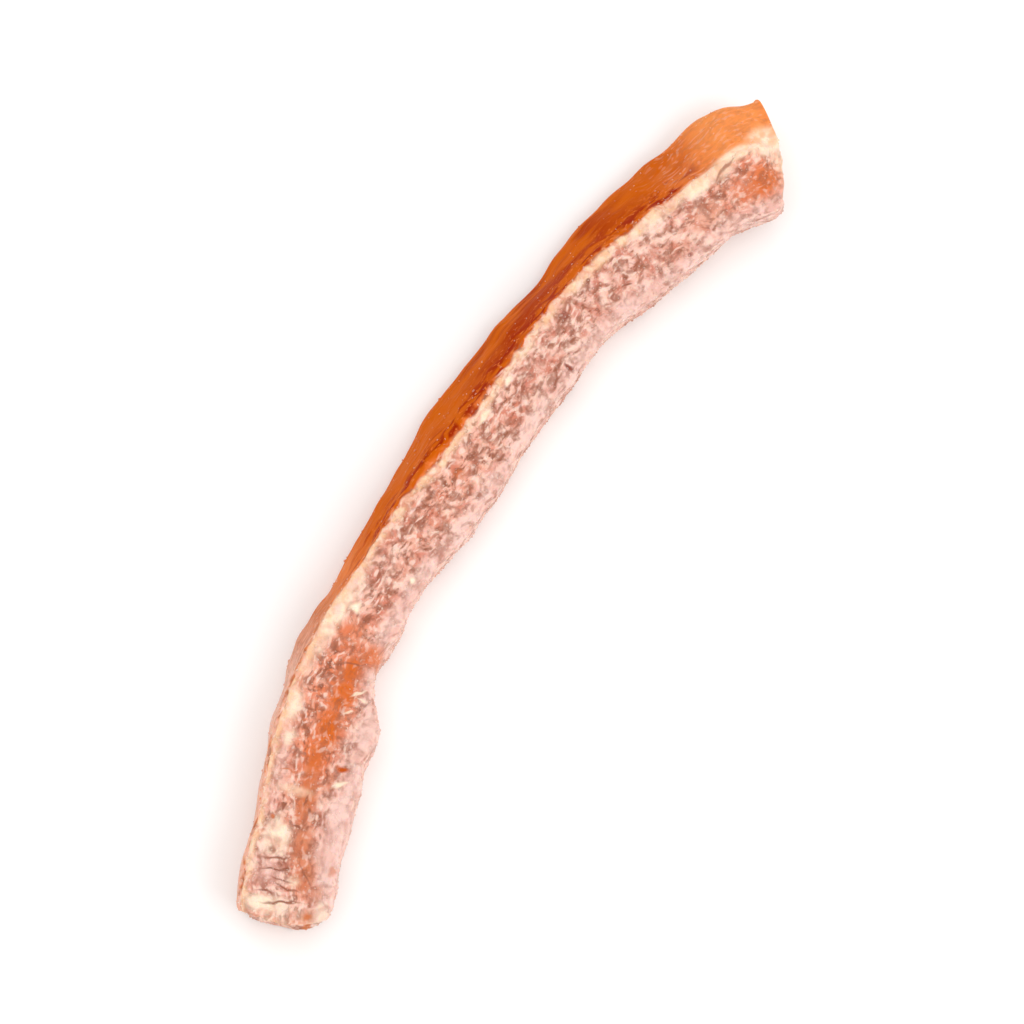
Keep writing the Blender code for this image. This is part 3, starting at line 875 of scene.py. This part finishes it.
def scatter_tree(name, kinds, gap, scales, fullness, seed):
    """Node group that sets crystals on the flesh, each turned and scaled at random."""
    tree, mesh = geometry_group(name)
    cover = add_node(tree, "GeometryNodeInputNamedAttribute", {"Name": "sugared"}, data_type="FLOAT")
    points = add_node(
        tree, "GeometryNodeDistributePointsOnFaces",
        {
            "Mesh": mesh, "Distance Min": gap, "Density Max": fullness / gap**2,
            "Density Factor": cover.outputs["Attribute"], "Seed": seed,
        },
        distribute_method="POISSON",
    )
    least, most = scales
    scale = add_node(
        tree, "FunctionNodeRandomValue", {"Min": (least,) * 3, "Max": (most,) * 3, "Seed": seed + 1},
        data_type="FLOAT_VECTOR",
    )

    # The collection gives its crystals one by one, each from its own origin
    kind = add_node(tree, "GeometryNodeCollectionInfo", {0: kinds, 1: True, 2: True})
    placed = add_node(
        tree, "GeometryNodeInstanceOnPoints",
        {
            "Points": points.outputs["Points"], "Instance": kind.outputs[0], "Pick Instance": True,
            "Rotation": points.outputs["Rotation"], "Scale": scale.outputs["Value"],
        },
    )
    turn = add_node(
        tree, "FunctionNodeRandomValue",
        {
            "Min": (-CRYSTAL_LEAN, -CRYSTAL_LEAN, -math.pi),
            "Max": (CRYSTAL_LEAN, CRYSTAL_LEAN, math.pi),
            "Seed": seed + 2,
        },
        data_type="FLOAT_VECTOR",
    )
    turned = add_node(
        tree, "GeometryNodeRotateInstances",
        {"Instances": placed.outputs[0], "Rotation": turn.outputs["Value"]},
    )
    tone = add_node(tree, "FunctionNodeRandomValue", {"Seed": seed + 3}, data_type="FLOAT")
    toned = add_node(
        tree, "GeometryNodeStoreNamedAttribute",
        {"Geometry": turned.outputs[0], "Name": "tone", "Value": tone.outputs[1]},
        data_type="FLOAT", domain="INSTANCE",
    )
    real = add_node(tree, "GeometryNodeRealizeInstances", {"Geometry": toned.outputs[0]})
    add_node(tree, "NodeGroupOutput", {"Geometry": real.outputs[0]})
    return tree


def sugar_material(settings, flesh_settings):
    """Crystallised sugar, dried out of the syrup: clear grains, some of them milky."""
    # A clear grain takes the colour of the flesh under it and a milky one is pale, so the eye gets
    # a fine sparkle and a rough outline, not separate dots. The real bloom's grains are too fine
    # to show, so the finest here are drawn about 0.2 mm long.
    material, surface = new_material("crystallised_sugar", {
        "Roughness": 0.4,
        "IOR": 1.54,
        "Specular IOR Level": 0.3,
        "Subsurface Weight": 0.3,
        "Subsurface Radius": (1.0, 0.7, 0.5),
        "Subsurface Scale": 0.3 * MM,
    })
    tree = material.node_tree
    under = dried_surface(tree, flesh_settings)[0]
    tone = add_node(tree, "ShaderNodeAttribute", attribute_name="tone").outputs["Fac"]
    milky = add_node(
        tree, "ShaderNodeMapRange", {"Value": tone, "From Min": 0.3, "To Min": 0.05, "To Max": 0.35}
    ).outputs[0]
    colour = laid_over(tree, under, ((milky, (*settings.tint, 1.0)),))
    tree.links.new(colour, surface.inputs["Base Color"])
    return material


def make_sugar(name, size, gap, scales, fullness, seed, sugar):
    """One grade of crystals over the flesh, made real as one mesh."""
    flesh = bpy.data.objects["candied_flesh"]
    kinds = bpy.data.collections.new(name + "_kinds")
    bpy.context.scene.collection.children.link(kinds)
    for index, stretch in enumerate(CRYSTAL_SHAPES):
        grain = crystal(f"{name}_{index}", size, stretch)
        for holder in list(grain.users_collection):
            holder.objects.unlink(grain)
        kinds.objects.link(grain)
    scattered = bpy.data.objects.new(name, flesh.data.copy())
    bpy.context.scene.collection.objects.link(scattered)
    scatter = scattered.modifiers.new("scatter", "NODES")
    scatter.node_group = scatter_tree(name, kinds, gap, scales, fullness, seed)
    apply_modifiers(scattered)
    for grain in list(kinds.objects):
        bpy.data.objects.remove(grain, do_unlink=True)
    bpy.data.collections.remove(kinds)
    scattered.data.materials.clear()
    scattered.data.materials.append(sugar)
    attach(scattered, BODY)


def sugar_cover():
    """Keeps on the flesh how thickly loose crystals lie at each point."""
    mesh = bpy.data.objects["candied_flesh"].data
    cover = np.ones(len(mesh.vertices), dtype=np.float32)
    share = np.empty_like(cover)
    for name, loss in SUGAR_LOSSES:
        mesh.attributes[name].data.foreach_get("value", share)
        cover *= 1.0 - loss * share
    mesh.attributes["clear"].data.foreach_get("value", share)
    store(mesh, "sugared", np.clip(cover * share, 0.0, 1.0))


def make_floor(settings):
    """A sheet of paper, far wider than what the camera sees of it."""
    bpy.ops.object.select_all(action="DESELECT")
    bpy.ops.mesh.primitive_plane_add(size=FLOOR_WIDTH, location=(0, 0, 0))
    floor = bpy.context.object
    floor.name = "paper_floor"

    # Matt white paper, uncoated: it gives the photo's plain white with only soft shadows
    paper, _ = new_material("matt_white_paper", {
        "Base Color": (*settings.paper, 1.0),
        "Roughness": 0.9,
        "Specular IOR Level": 0.1,
    })
    floor.data.materials.append(paper)


def make_lights(settings):
    """A white room that lights the strip from all round, and two softboxes that shape it."""
    world = bpy.data.worlds.new("soft_room")
    world.use_nodes = True
    background = world.node_tree.nodes["Background"]
    background.inputs["Color"].default_value = (1.0, 1.0, 1.0, 1.0)
    background.inputs["Strength"].default_value = ROOM_STRENGTH * settings.brightness
    bpy.context.scene.world = world
    for name, place, width, power in SOFTBOXES:
        bpy.ops.object.light_add(type="AREA", location=place)
        light = bpy.context.object
        light.name = name
        light.data.shape = "SQUARE"
        light.data.size = width
        light.data.energy = power * settings.brightness
        light.rotation_euler = (-Vector(place)).to_track_quat("-Z", "Y").to_euler()


def make_camera(settings):
    """The camera, as steep as the photo's, with the strip filling its share of the frame.

    Its lens is long, because the photo shows almost no perspective.
    """
    low, high = (Vector(corner) for corner in CAD_BOX)
    middle = 0.5 * (low + high)
    frame_height = (high.y - low.y) / settings.fill
    bpy.ops.object.camera_add()
    camera = bpy.context.object
    camera.name = "camera"
    camera.data.lens = settings.lens
    distance = frame_height * settings.lens / camera.data.sensor_width
    away = Vector((0.0, -math.cos(settings.elevation), math.sin(settings.elevation)))
    camera.location = middle + away * distance
    camera.rotation_euler = (0.5 * math.pi - settings.elevation, 0.0, 0.0)
    bpy.context.scene.camera = camera

    # The plain view transform keeps white paper white
    bpy.context.scene.view_settings.view_transform = "Standard"


class PAPAYA_OT_flesh(bpy.types.Operator):
    """Make the candied flesh from the strip's solid"""

    bl_idname = "papaya.flesh"
    bl_label = "Candied flesh"

    def execute(self, context):
        make_flesh(context.scene.papaya_flesh)
        return {"FINISHED"}


class PAPAYA_OT_sugar(bpy.types.Operator):
    """Scatter coarse and fine sugar crystals over the flesh"""

    bl_idname = "papaya.sugar"
    bl_label = "Sugar crystals"

    def execute(self, context):
        settings = context.scene.papaya_sugar
        sugar_cover()
        sugar = sugar_material(settings, context.scene.papaya_flesh)

        # Each grade: its crystals' size and gap, their least and most scale, how many of the
        # places that the gap allows are tried, and its seed
        for name, size, gap, scales, fullness, seed in (
            ("coarse_sugar", settings.coarse_size, settings.coarse_gap, (0.6, 1.2), 0.5, settings.seed),
            ("fine_sugar", settings.fine_size, settings.fine_gap, (0.6, 1.25), 0.8, settings.seed + 10),
        ):
            make_sugar(name, size, gap, scales, fullness, seed, sugar)
        return {"FINISHED"}


class PAPAYA_OT_stage(bpy.types.Operator):
    """Set up the paper floor, the soft lights and the camera"""

    bl_idname = "papaya.stage"
    bl_label = "Studio"

    def execute(self, context):
        settings = context.scene.papaya_stage
        make_floor(settings)
        make_lights(settings)
        make_camera(settings)
        return {"FINISHED"}


class PAPAYA_PT_panel(bpy.types.Panel):
    """Lists the strip's pieces and their settings"""

    bl_label = "Dried papaya strip"
    bl_space_type = "VIEW_3D"
    bl_region_type = "UI"
    bl_category = "Papaya"

    def draw(self, context):
        scene = context.scene
        for operator, settings in (
            (PAPAYA_OT_flesh, scene.papaya_flesh),
            (PAPAYA_OT_sugar, scene.papaya_sugar),
            (PAPAYA_OT_stage, scene.papaya_stage),
        ):
            box = self.layout.box()
            box.operator(operator.bl_idname)
            for name in settings.__annotations__:
                box.prop(settings, name)


CLASSES = (
    PapayaFlesh, PapayaSugar, PapayaStage,
    PAPAYA_OT_flesh, PAPAYA_OT_sugar, PAPAYA_OT_stage, PAPAYA_PT_panel,
)


def register():
    """Adds the classes, and their settings on the scene."""
    for cls in CLASSES:
        bpy.utils.register_class(cls)
    bpy.types.Scene.papaya_flesh = PointerProperty(type=PapayaFlesh)
    bpy.types.Scene.papaya_sugar = PointerProperty(type=PapayaSugar)
    bpy.types.Scene.papaya_stage = PointerProperty(type=PapayaStage)


def unregister():
    """Takes the settings and the classes away again."""
    for name in ("papaya_flesh", "papaya_sugar", "papaya_stage"):
        delattr(bpy.types.Scene, name)
    for cls in reversed(CLASSES):
        bpy.utils.unregister_class(cls)


def main():
    """Makes the flesh, the sugar and the stage."""
    register()
    bpy.ops.papaya.flesh()
    bpy.ops.papaya.sugar()
    bpy.ops.papaya.stage()


if __name__ == "__main__":
    main()
